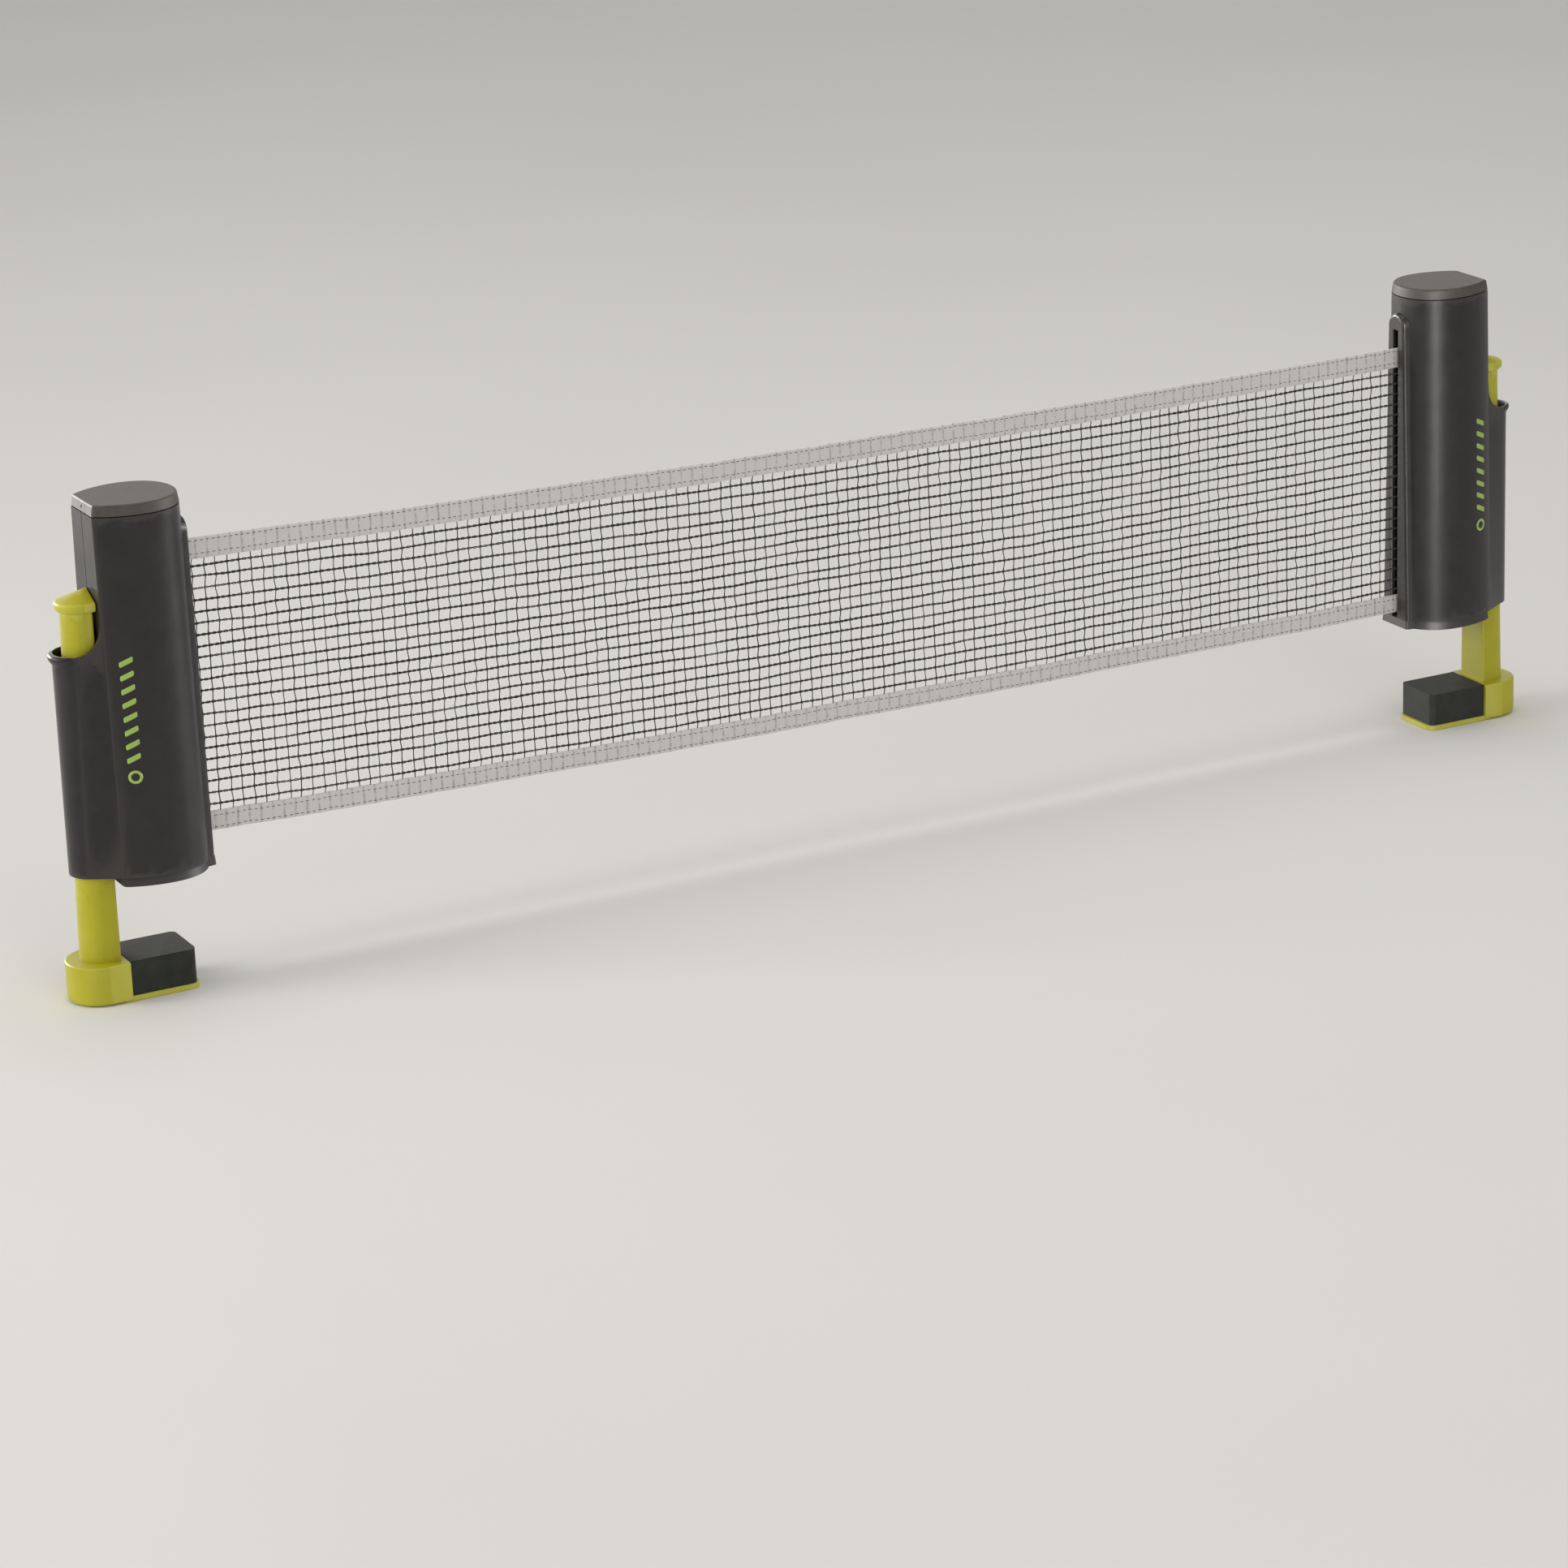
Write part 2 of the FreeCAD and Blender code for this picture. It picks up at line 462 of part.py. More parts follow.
front, rear = shells()
made = {
    "shell_front": front,
    "shell_rear": rear,
    "cap": cap(),
    "base_plate": base_plate(),
    "base_screws": base_screws(),
    "clamp_arm": clamp_arm(),
    "thumb_cap": thumb_cap(),
    "jaw_pad": jaw_pad(),
    "clamp_spring": coil(-27.6, 76.1, 117.9, 2.7, 0.8, 11.0),
    "reel_tube": reel_tube(),
    "net_keeper": net_keeper(),
    "lower_hub": lower_hub(),
    "spring_drum": spring_drum(),
    "spring_arbor": spring_arbor(),
    "recoil_spring": recoil_spring(),
}
for name, shape in made.items():
    write("left_" + name, shape)
    write("right_" + name, mirrored(shape))
write("left_net_roll", net_roll(NET_TOP_L))
write("right_net_roll", mirrored(net_roll(NET_TOP_R)))
write("net_top_tape", net_strip(0.0, TOP_TAPE, TAPE_T))
write("net_mesh", net_strip(TOP_TAPE + 0.05, NET_H - TOP_TAPE - LOW_TAPE - 0.1, MESH_T))
write("net_bottom_tape", net_strip(NET_H - LOW_TAPE, LOW_TAPE, TAPE_T))
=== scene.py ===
import math
import random

import bmesh
import bpy
import numpy as np
from mathutils import Matrix, Vector
from mathutils.bvhtree import BVHTree


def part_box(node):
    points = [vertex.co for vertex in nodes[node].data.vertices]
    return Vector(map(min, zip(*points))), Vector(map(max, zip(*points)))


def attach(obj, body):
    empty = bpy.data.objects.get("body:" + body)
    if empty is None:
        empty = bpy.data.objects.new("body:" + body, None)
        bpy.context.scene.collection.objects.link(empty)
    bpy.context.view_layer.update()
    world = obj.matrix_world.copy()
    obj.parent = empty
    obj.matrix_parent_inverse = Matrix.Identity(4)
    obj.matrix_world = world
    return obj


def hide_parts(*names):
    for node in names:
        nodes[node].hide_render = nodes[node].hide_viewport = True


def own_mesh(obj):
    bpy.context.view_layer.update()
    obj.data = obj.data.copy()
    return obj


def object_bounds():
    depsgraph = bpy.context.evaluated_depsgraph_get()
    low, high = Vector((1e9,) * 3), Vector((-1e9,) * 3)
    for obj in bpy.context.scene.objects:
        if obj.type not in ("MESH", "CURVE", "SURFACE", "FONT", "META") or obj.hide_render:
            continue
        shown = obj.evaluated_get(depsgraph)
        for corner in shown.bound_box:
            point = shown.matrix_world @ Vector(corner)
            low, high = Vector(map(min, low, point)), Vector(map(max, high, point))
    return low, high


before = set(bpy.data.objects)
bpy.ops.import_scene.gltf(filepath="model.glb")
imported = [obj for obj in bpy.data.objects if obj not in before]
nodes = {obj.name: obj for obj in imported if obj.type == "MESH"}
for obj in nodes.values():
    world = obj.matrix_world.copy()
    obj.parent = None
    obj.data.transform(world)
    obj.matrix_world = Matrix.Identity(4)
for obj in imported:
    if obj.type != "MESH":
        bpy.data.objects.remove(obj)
cad_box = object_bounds()
random.seed(11)
rng = np.random.default_rng(11)
PITCH = 0.722

# ------------------------------------------------------------------ camera
F_PX, YAW, PIT, ROLL = 6319.33, math.radians(27.2924), math.radians(18.3785), math.radians(-2.0819)
CAM_AT = Vector((-0.77747, -2.14937, 0.78303))
d = Vector((math.sin(YAW) * math.cos(PIT), math.cos(YAW) * math.cos(PIT), -math.sin(PIT)))
r = Vector((math.cos(YAW), -math.sin(YAW), 0))
u = r.cross(d)
right = r * math.cos(ROLL) + u * math.sin(ROLL)
up = -r * math.sin(ROLL) + u * math.cos(ROLL)
cam_data = bpy.data.cameras.new("camera")
cam = bpy.data.objects.new("camera", cam_data)
bpy.context.scene.collection.objects.link(cam)
cam_data.sensor_width = 36.0
cam_data.lens = F_PX / 1932 * 36.0
cam_data.clip_start, cam_data.clip_end = 0.1, 60.0
m = Matrix((right, up, -d)).transposed().to_4x4()
m.translation = CAM_AT
cam.matrix_world = m
bpy.context.scene.camera = cam


# ------------------------------------------------------------------ node helpers
class Mat:
    """A small wrapper that keeps node trees short to write. Coordinates are object space, in metres."""

    def __init__(self, name):
        self.m = bpy.data.materials.new(name)
        self.m.use_nodes = True
        self.t = self.m.node_tree
        self.b = self.t.nodes["Principled BSDF"]
        self.co = self.t.nodes.new("ShaderNodeTexCoord").outputs["Object"]

    def new(self, kind, **kw):
        n = self.t.nodes.new(kind)
        for k, v in kw.items():
            setattr(n, k, v)
        return n

    def link(self, a, b):
        self.t.links.new(a, b)

    def put(self, sock, v):
        if hasattr(v, "links"):
            self.link(v, sock)
        else:
            sock.default_value = v

    def noise(self, scale, detail=3.0, rough=0.55, vec=None):
        n = self.new("ShaderNodeTexNoise")
        n.inputs["Scale"].default_value = scale
        n.inputs["Detail"].default_value = detail
        n.inputs["Roughness"].default_value = rough
        self.link(vec or self.co, n.inputs["Vector"])
        return n.outputs["Fac"]

    def voronoi(self, scale, vec=None):
        n = self.new("ShaderNodeTexVoronoi")
        n.inputs["Scale"].default_value = scale
        self.link(vec or self.co, n.inputs["Vector"])
        return n.outputs["Distance"]

    def math(self, op, a, b=0.0, clamp=False):
        n = self.new("ShaderNodeMath", operation=op, use_clamp=clamp)
        self.put(n.inputs[0], a)
        self.put(n.inputs[1], b)
        return n.outputs[0]

    def ramp(self, fac, stops):
        n = self.new("ShaderNodeValToRGB")
        e = n.color_ramp.elements
        e[0].position, e[0].color = stops[0][0], (*stops[0][1], 1)
        e[1].position, e[1].color = stops[1][0], (*stops[1][1], 1)
        for p, c in stops[2:]:
            x = e.new(p)
            x.color = (*c, 1)
        self.link(fac, n.inputs["Fac"])
        return n.outputs["Color"]

    def mix(self, fac, a, b):
        n = self.new("ShaderNodeMix", data_type="RGBA")
        self.put(n.inputs[0], fac)
        for s, v in ((n.inputs[6], a), (n.inputs[7], b)):
            self.put(s, (*v, 1) if isinstance(v, tuple) and len(v) == 3 else v)
        return n.outputs[2]

    def range(self, v, a, b, lo, hi):
        n = self.new("ShaderNodeMapRange")
        self.put(n.inputs[0], v)
        for i, x in enumerate((a, b, lo, hi)):
            n.inputs[1 + i].default_value = x
        return n.outputs[0]

    def bump(self, height, dist, strength=1.0, after=None):
        n = self.new("ShaderNodeBump")
        n.inputs["Strength"].default_value = strength
        n.inputs["Distance"].default_value = dist
        self.link(height, n.inputs["Height"])
        if after is not None:
            self.link(after, n.inputs["Normal"])
        self.last = n.outputs["Normal"]
        self.link(self.last, self.b.inputs["Normal"])
        return self.last

    def edge(self, low=0.5, high=0.56):
        """0 on flat stretches, 1 where the surface bends outwards, for a painted highlight along edges."""
        g = self.new("ShaderNodeNewGeometry")
        return self.range(g.outputs["Pointiness"], low, high, 0.0, 1.0)

    def xyz(self):
        n = self.new("ShaderNodeSeparateXYZ")
        self.link(self.co, n.inputs[0])
        return n.outputs

    def color(self, c):
        self.put(self.b.inputs["Base Color"], (*c, 1) if isinstance(c, tuple) else c)

    def rough(self, v):
        self.put(self.b.inputs["Roughness"], v)


def plastic(name, dark, light, rough=(0.4, 0.5), grain=2600.0, grain_h=0.00002, mottle=90.0, edge_highlight=None, spec=0.5,
            streak=False):
    """Moulded plastic: a fine spark-eroded grain, soft mottling, and edges painted lighter as a highlight."""
    k = Mat(name)
    vec = k.co
    big = k.noise(mottle, 4.0, 0.6)
    fine = k.noise(grain, 2.0, 0.6)
    c = k.ramp(big, [(0.32, dark), (0.7, light)])
    speck = k.range(fine, 0.3, 0.72, 0.90, 1.10)
    hs = k.new("ShaderNodeHueSaturation")
    k.link(c, hs.inputs["Color"])
    k.link(speck, hs.inputs["Value"])
    c = hs.outputs["Color"]
    # painted highlight: the colour turns lighter on convex edges
    if edge_highlight:
        c = k.mix(k.math("MULTIPLY", k.edge(), 0.55), c, edge_highlight)
    k.color(c)
    k.rough(k.range(k.math("ADD", k.math("MULTIPLY", big, 0.6), k.math("MULTIPLY", fine, 0.4)), 0.3, 0.7, *rough))
    n = k.bump(fine, grain_h)
    n = k.bump(k.noise(320.0, 2.0), 0.00003, 0.5, n)
    if streak:      # faint flow lines down the moulding
        x, y, z = k.xyz()
        comb = k.new("ShaderNodeCombineXYZ")
        k.link(x, comb.inputs[0])
        k.link(y, comb.inputs[1])
        k.link(k.math("MULTIPLY", z, 0.04), comb.inputs[2])
        k.bump(k.noise(240.0, 2.0, vec=comb.outputs[0]), 0.00004, 0.35, n)
    k.b.inputs["Specular IOR Level"].default_value = spec
    return k


M = {}
# the last colour given to each plastic below is painted on its convex edges as a highlight
M["housing"] = plastic("housing_charcoal", (0.0125, 0.0108, 0.0110), (0.0195, 0.0170, 0.0170), (0.30, 0.41),
                       edge_highlight=(0.062, 0.055, 0.052), streak=True, spec=0.45)
M["cap"] = plastic("cap_charcoal_matt", (0.041, 0.0335, 0.0260), (0.088, 0.073, 0.059), (0.50, 0.66), mottle=120.0,
                   grain=1500.0, grain_h=0.00004, edge_highlight=(0.115, 0.105, 0.094), spec=0.42)
M["base"] = plastic("base_black", (0.0125, 0.0115, 0.0112), (0.021, 0.0188, 0.0178), (0.42, 0.55),
                    edge_highlight=(0.060, 0.056, 0.053))
M["clamp_lime"] = plastic("clamp_lime_matt", (0.455, 0.420, 0.0060), (0.520, 0.482, 0.0100), (0.44, 0.56),
                          mottle=60.0, edge_highlight=(0.72, 0.70, 0.13), spec=0.42)
M["clamp_lime"].b.inputs["Subsurface Weight"].default_value = 0.08
M["clamp_lime"].b.inputs["Subsurface Radius"].default_value = (0.6, 0.5, 0.1)
M["clamp_lime"].b.inputs["Subsurface Scale"].default_value = 0.002
M["inner_plastic"] = plastic("inner_nylon", (0.30, 0.29, 0.26), (0.38, 0.37, 0.34), (0.38, 0.5), mottle=110.0,
                             edge_highlight=(0.5, 0.48, 0.44))

k = Mat("pad_rubber")
big, fine = k.noise(160.0, 4.0), k.noise(2200.0, 3.0, 0.7)
k.color(k.ramp(big, [(0.3, (0.0155, 0.0185, 0.0140)), (0.72, (0.027, 0.031, 0.024))]))
k.rough(k.range(fine, 0.3, 0.7, 0.66, 0.84))
k.bump(k.noise(420.0, 3.0), 0.00006, 0.5, k.bump(fine, 0.00005))
k.b.inputs["Specular IOR Level"].default_value = 0.3
M["pad_rubber"] = k


def metal(name, base, rough, scale):
    k = Mat(name)
    n1, n2 = k.noise(scale, 3.0), k.noise(70.0, 4.0)
    k.color(k.ramp(n2, [(0.3, tuple(c * 0.82 for c in base)), (0.7, base)]))
    k.rough(k.range(n1, 0.3, 0.7, *rough))
    k.b.inputs["Metallic"].default_value = 1.0
    k.bump(n1, 0.00001, 0.6)
    return k


M["screw_steel"] = metal("screw_steel", (0.56, 0.55, 0.52), (0.26, 0.40), 1800.0)
M["spring_steel"] = metal("spring_steel", (0.42, 0.41, 0.40), (0.24, 0.38), 2600.0)

# black yarn: painted shade in its grooves (darker where the fine bump dips), with a light fuzz that catches the light
# here and there
k = Mat("net_yarn")
fine = k.noise(5200.0, 3.0, 0.7)
big = k.noise(260.0, 3.0)
# painted shade: the same fine noise that dents the yarn also darkens it
c = k.ramp(fine, [(0.3, (0.0055, 0.0050, 0.0048)), (0.75, (0.0170, 0.0153, 0.0140))])
c = k.mix(k.range(big, 0.60, 0.76, 0.0, 0.40), c, (0.070, 0.064, 0.056))
k.color(c)
k.rough(k.range(fine, 0.3, 0.7, 0.58, 0.82))
k.bump(fine, 0.00006, 0.8)
k.b.inputs["Sheen Weight"].default_value = 0.08
k.b.inputs["Sheen Roughness"].default_value = 0.5
M["net_cord"] = k


def weave(name, z_dir=1.0):
    """Thin grey woven tape: fine warp and weft, the net's yarns showing through as faint upright ridges, and specks."""
    k = Mat(name)
    x, y, z = k.xyz()
    drift = k.math("MULTIPLY", k.math("SUBTRACT", k.noise(45.0, 2.0), 0.5), 0.0016)
    xw = k.math("ADD", x, drift)
    warp = k.math("SINE", k.math("MULTIPLY", k.math("ADD", x, k.math("MULTIPLY", drift, 0.1)), 2 * math.pi / 0.00062))
    weft = k.math("SINE", k.math("MULTIPLY", z, 2 * math.pi / 0.00050))
    cloth = k.math("MULTIPLY", warp, weft)
    cloth = k.range(cloth, -1.0, 1.0, 0.0, 1.0)
    ridge = k.math("SINE", k.math("MULTIPLY", xw, 2 * math.pi / 0.00583))
    ridge = k.range(ridge, 0.78, 0.97, 0.0, 1.0)
    gaps = k.range(k.noise(520.0, 2.0), 0.40, 0.60, 0.15, 1.0)
    ridge = k.math("MULTIPLY", ridge, gaps)
    fine = k.noise(3600.0, 3.0, 0.75)
    c = k.ramp(cloth, [(0.0, (0.740, 0.722, 0.716)), (1.0, (0.850, 0.833, 0.826))])
    c = k.mix(k.range(fine, 0.56, 0.74, 0.0, 0.36), c, (0.44, 0.425, 0.425))
    c = k.mix(k.math("MULTIPLY", ridge, 0.62), c, (0.30, 0.285, 0.290))
    c = k.mix(k.range(k.noise(30.0, 3.0), 0.35, 0.7, 0.0, 0.16), c, (0.80, 0.79, 0.79))
    k.color(c)
    k.rough(k.range(fine, 0.3, 0.7, 0.72, 0.9))
    n = k.bump(cloth, 0.00009, 0.9)
    n = k.bump(ridge, 0.00016, 0.7, n)
    k.bump(fine, 0.00008, 0.6, n)
    k.b.inputs["Sheen Weight"].default_value = 0.2
    k.b.inputs["Specular IOR Level"].default_value = 0.25
    return k


M["tape"] = weave("tape_weave")

k = Mat("stitch_thread_painted_shade")
fine = k.noise(6000.0, 2.0)
# the light grey thread is painted a darker grey: painted shade along the stitches
k.color(k.ramp(fine, [(0.3, (0.120, 0.112, 0.116)), (0.7, (0.24, 0.228, 0.232))]))
k.rough(k.range(fine, 0.3, 0.7, 0.6, 0.8))
k.bump(fine, 0.00004)
M["stitch"] = k

k = Mat("motif_lime")
fine = k.noise(2200.0, 2.0)
k.color(k.ramp(fine, [(0.28, (0.32, 0.50, 0.085)), (0.72, (0.44, 0.64, 0.130))]))
k.rough(k.range(fine, 0.3, 0.7, 0.36, 0.5))
k.bump(fine, 0.00001)
M["motif"] = k

# wound net: black mesh between two pale tapes, in wraps that show as fine level lines
k = Mat("net_wound")
x, y, z = k.xyz()
rows = k.range(k.math("SINE", k.math("MULTIPLY", z, 2 * math.pi / 0.0056)), 0.2, 0.9, 0.0, 1.0)
crumple = k.noise(700.0, 3.0)
k.color(k.mix(rows, k.ramp(crumple, [(0.3, (0.010, 0.009, 0.009)), (0.7, (0.045, 0.041, 0.039))]), (0.012, 0.011, 0.010)))
k.rough(k.range(crumple, 0.3, 0.7, 0.6, 0.85))
k.bump(crumple, 0.0002, 0.8, k.bump(rows, 0.0003, 0.8))
M["net_wound"] = k


# ------------------------------------------------------------------ CAD nodes: finish and shading
FINISH = {"shell_front": "housing", "shell_rear": "housing", "cap": "cap", "base_plate": "base",
          "base_screws": "screw_steel", "clamp_arm": "clamp_lime", "thumb_cap": "clamp_lime",
          "jaw_pad": "pad_rubber", "clamp_spring": "spring_steel", "reel_tube": "inner_plastic",
          "net_keeper": "inner_plastic", "lower_hub": "inner_plastic", "spring_drum": "inner_plastic",
          "spring_arbor": "inner_plastic", "recoil_spring": "spring_steel", "net_roll": "net_wound"}
for name, o in nodes.items():
    part = name.split("_", 1)[1] if name.startswith(("left_", "right_")) else name
    key = FINISH.get(part)
    if key is None:
        continue
    o.data.materials.clear()
    o.data.materials.append(M[key].m)
    for p in o.data.polygons:
        p.use_smooth = True
        p.material_index = 0
    o.data.set_sharp_from_angle(angle=math.radians(24))


# ------------------------------------------------------------------ building helpers
def link(name, verts, faces, mat, smooth=True):
    me = bpy.data.meshes.new(name)
    me.from_pydata([tuple(v) for v in verts], [], [tuple(f) for f in faces])
    me.materials.append(mat.m)
    me.validate()
    if smooth:
        me.polygons.foreach_set("use_smooth", [True] * len(me.polygons))
    o = bpy.data.objects.new(name, me)
    bpy.context.scene.collection.objects.link(o)
    return o


def from_arrays(name, verts, quads, mat):
    """A mesh from an (n,3) array and an (m,4) array of quads, quickly."""
    me = bpy.data.meshes.new(name)
    n, q = len(verts), len(quads)
    me.vertices.add(n)
    me.vertices.foreach_set("co", np.ascontiguousarray(verts, np.float32).ravel())
    me.loops.add(4 * q)
    me.loops.foreach_set("vertex_index", np.ascontiguousarray(quads, np.int32).ravel())
    me.polygons.add(q)
    me.polygons.foreach_set("loop_start", np.arange(0, 4 * q, 4, dtype=np.int32))
    me.polygons.foreach_set("use_smooth", np.ones(q, bool))
    me.update(calc_edges=True)
    me.validate()
    me.materials.append(mat.m)
    o = bpy.data.objects.new(name, me)
    bpy.context.scene.collection.objects.link(o)
    return o


def tube(path, rad, sides=5):
    """Rings of a closed tube along an (n,3) path. rad is one number or one per point. Returns vertices and quads."""
    path = np.asarray(path, float)
    n = len(path)
    t = np.gradient(path, axis=0)
    t /= np.linalg.norm(t, axis=1)[:, None]
    ref = np.array([0.0, 1.0, 0.0])
    a = np.cross(t, ref)
    bad = np.linalg.norm(a, axis=1) < 1e-3
    a[bad] = (1.0, 0.0, 0.0)
    a /= np.linalg.norm(a, axis=1)[:, None]
    b = np.cross(t, a)
    ang = np.arange(sides) * 2 * math.pi / sides
    rad = np.broadcast_to(np.asarray(rad, float), (n,))
    ring = (np.cos(ang)[None, :, None] * a[:, None, :] + np.sin(ang)[None, :, None] * b[:, None, :]) * rad[:, None, None]
    verts = (path[:, None, :] + ring).reshape(-1, 3)
    i = np.arange(n - 1)[:, None] * sides
    j = np.arange(sides)[None, :]
    k2 = (j + 1) % sides
    quads = np.stack([i + j, i + k2, i + sides + k2, i + sides + j], -1).reshape(-1, 4)
    # each end is closed by a small cone-free cap: a ring drawn in to the axis point
    ends_v = np.array([path[0], path[-1]])
    base = len(verts)
    caps = []
    for e, off in ((0, 0), (1, (n - 1) * sides)):
        for s in range(0, sides - 1, 2):
            p, q2, r3 = s, (s + 1) % sides, (s + 2) % sides
            f = [off + p, off + q2, off + r3, base + e]
            caps.append(f if e else f[::-1])
        if sides % 2:
            p, q2 = sides - 1, 0
            f = [off + p, off + q2, base + e, base + e]
    return np.vstack([verts, ends_v]), quads, caps, base


# ------------------------------------------------------------------ the net's own lines
lo_t, hi_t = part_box("net_top_tape")
X0, X1 = lo_t.x, hi_t.x
ROLL = 0.0149
BEND = 0.0244
ang = math.asin(ROLL / BEND)
run = BEND * math.cos(ang)
SU, SV = BEND - run * math.cos(ang), -run * math.sin(ang)
TOP_L, TOP_R, SAG = 0.1559, 0.1491, 0.0032
NET_H, TOP_TAPE, LOW_TAPE = 0.1425, 0.0103, 0.0095


def net_y(x):
    """Plan line of the net: from the roll to the slot, straight across, and back to the other roll, eased at the bends."""
    x = np.asarray(x, float)
    k1 = np.clip((BEND - x) / (BEND - SU), 0, 1)
    k2 = np.clip((x - (PITCH - BEND)) / (BEND - SU), 0, 1)
    k = np.maximum(k1, k2)
    soft = np.where(k < 0.12, k * k / 0.24, k - 0.06) / 0.94
    return SV * soft


def net_top(x):
    x = np.asarray(x, float)
    t = np.clip((x - BEND) / (PITCH - 2 * BEND), 0, 1)
    return TOP_L + (TOP_R - TOP_L) / PITCH * x - SAG * 4 * t * (1 - t)


def wave(x, amp, length, ph):
    return amp * np.sin(2 * math.pi * np.asarray(x) / length + ph)


COL, ROWS = 0.00583, 22
cols = np.arange(X0 + 0.0022, X1 - 0.0015, COL)
z_hi, z_lo = -TOP_TAPE, -(NET_H - LOW_TAPE)          # mesh limits below the net's top edge
row_d = np.linspace(z_hi - 0.0034, z_lo + 0.0034, ROWS)
row_jit = rng.normal(0, 0.00013, ROWS)
xs_ctrl = np.linspace(X0, X1, 60)
row_noise = rng.normal(0, 0.00017, (ROWS, 60))


def row_z(i, x):
    """Height of level i at x, with the slight unevenness of a knitted net."""
    return net_top(x) + row_d[i] + row_jit[i] + np.interp(x, xs_ctrl, row_noise[i]) \
        + wave(x, 0.00022, 0.21 + 0.01 * i, 0.7 * i)


def bulge(x, i):
    """Small slack of the net out of its plane, gone at the posts."""
    fade = np.clip(np.minimum(x - 0.03, PITCH - 0.03 - x) / 0.05, 0, 1)
    return fade * (wave(x, 0.0005, 0.19, 0.3 + 0.08 * i) + wave(x, 0.00025, 0.083, 1.9 - 0.11 * i))


cell_phase = rng.normal(0, 0.35, (ROWS, len(cols) + 4))


def gather(parts):
    vs, qs, off, tri = [], [], 0, []
    for v, q, caps, base in parts:
        vs.append(v)
        qs.append(q + off)
        tri += [[c + off for c in f] for f in caps]
        off += len(v)
    return np.vstack(vs), np.vstack(qs), tri


def strands(name, parts, mat):
    v, q, caps = gather(parts)
    o = from_arrays(name, v, q, mat)
    bm = bmesh.new()
    bm.from_mesh(o.data)
    bm.verts.ensure_lookup_table()
    # close every open end with one face
    open_edges = [e for e in bm.edges if e.is_boundary]
    if open_edges:
        bmesh.ops.holes_fill(bm, edges=open_edges, sides=0)
    loose = [w for w in bm.verts if not w.link_faces]
    bmesh.ops.delete(bm, geom=loose, context="VERTS")
    bmesh.ops.recalc_face_normals(bm, faces=bm.faces)
    bm.to_mesh(o.data)
    bm.free()
    return o


net_pieces = []
STEP = COL / 7
xr = np.arange(X0 + 0.0004, X1 - 0.0004, STEP)
lean = rng.normal(0, 0.00028, len(cols))
swing = rng.normal(0, 0.00016, (len(cols), ROWS + 2))
fat = rng.uniform(0.86, 1.14, len(cols))
BANDS = np.array_split(np.arange(ROWS), 4)


def crossing(j, i):
    """Where upright j meets level i; -1 and ROWS are its ends inside the tapes."""
    xj = cols[j] + lean[j] * (i / ROWS - 0.5) * 2 + swing[j, i + 1] + (0.00017 if i % 2 else -0.00017)
    if i < 0:
        z = net_top(xj) - TOP_TAPE + 0.0016
    elif i == ROWS:
        z = net_top(xj) - (NET_H - LOW_TAPE) - 0.0016
    else:
        z = row_z(i, xj)
    y = net_y(xj) + bulge(xj, max(0, min(i, ROWS - 1))) + (0.00012 if (i + j) % 2 else -0.00012)
    return float(xj), float(y), float(z)


for g, rows in enumerate(BANDS):
    parts = []
    for i in rows:
        jit = np.interp(xr, np.arange(len(cell_phase[i])) * COL + X0, cell_phase[i])
        tw = 2 * math.pi * (xr - X0 - 0.0022) / COL + jit
        thick = 1.0 + 0.16 * np.interp(xr, xs_ctrl, rng.normal(0, 0.7, 60))
        for s in (0, 1):
            a = tw + s * math.pi
            y = net_y(xr) + bulge(xr, i) + 0.00019 * np.sin(a)
            z = row_z(i, xr) + 0.00035 * np.cos(a)
            parts.append(tube(np.stack([xr, y, z], 1), 0.00030 * thick, 5))
    first = -1 if g == 0 else int(rows[0])
    last = ROWS if g == 3 else int(rows[-1]) + 1
    for j in range(len(cols)):
        pts = np.array([crossing(j, i) for i in range(first, last + 1)])
        n = len(pts)
        tt = np.linspace(0, n - 1, (n - 1) * 3 + 1)
        lo_i = np.clip(np.floor(tt).astype(int), 0, n - 2)
        k1 = (tt - lo_i)[:, None]
        ke = (1 - np.cos(math.pi * k1)) / 2
        path = pts[lo_i] * (1 - ke) + pts[lo_i + 1] * ke
        path[:, 2] = (pts[lo_i] * (1 - k1) + pts[lo_i + 1] * k1)[:, 2]
        parts.append(tube(path, 0.00028 * (1 + 0.20 * np.cos(2 * math.pi * tt)) * fat[j], 5))
    net_pieces.append(strands("net_band_%d" % (g + 1), parts, M["net_cord"]))


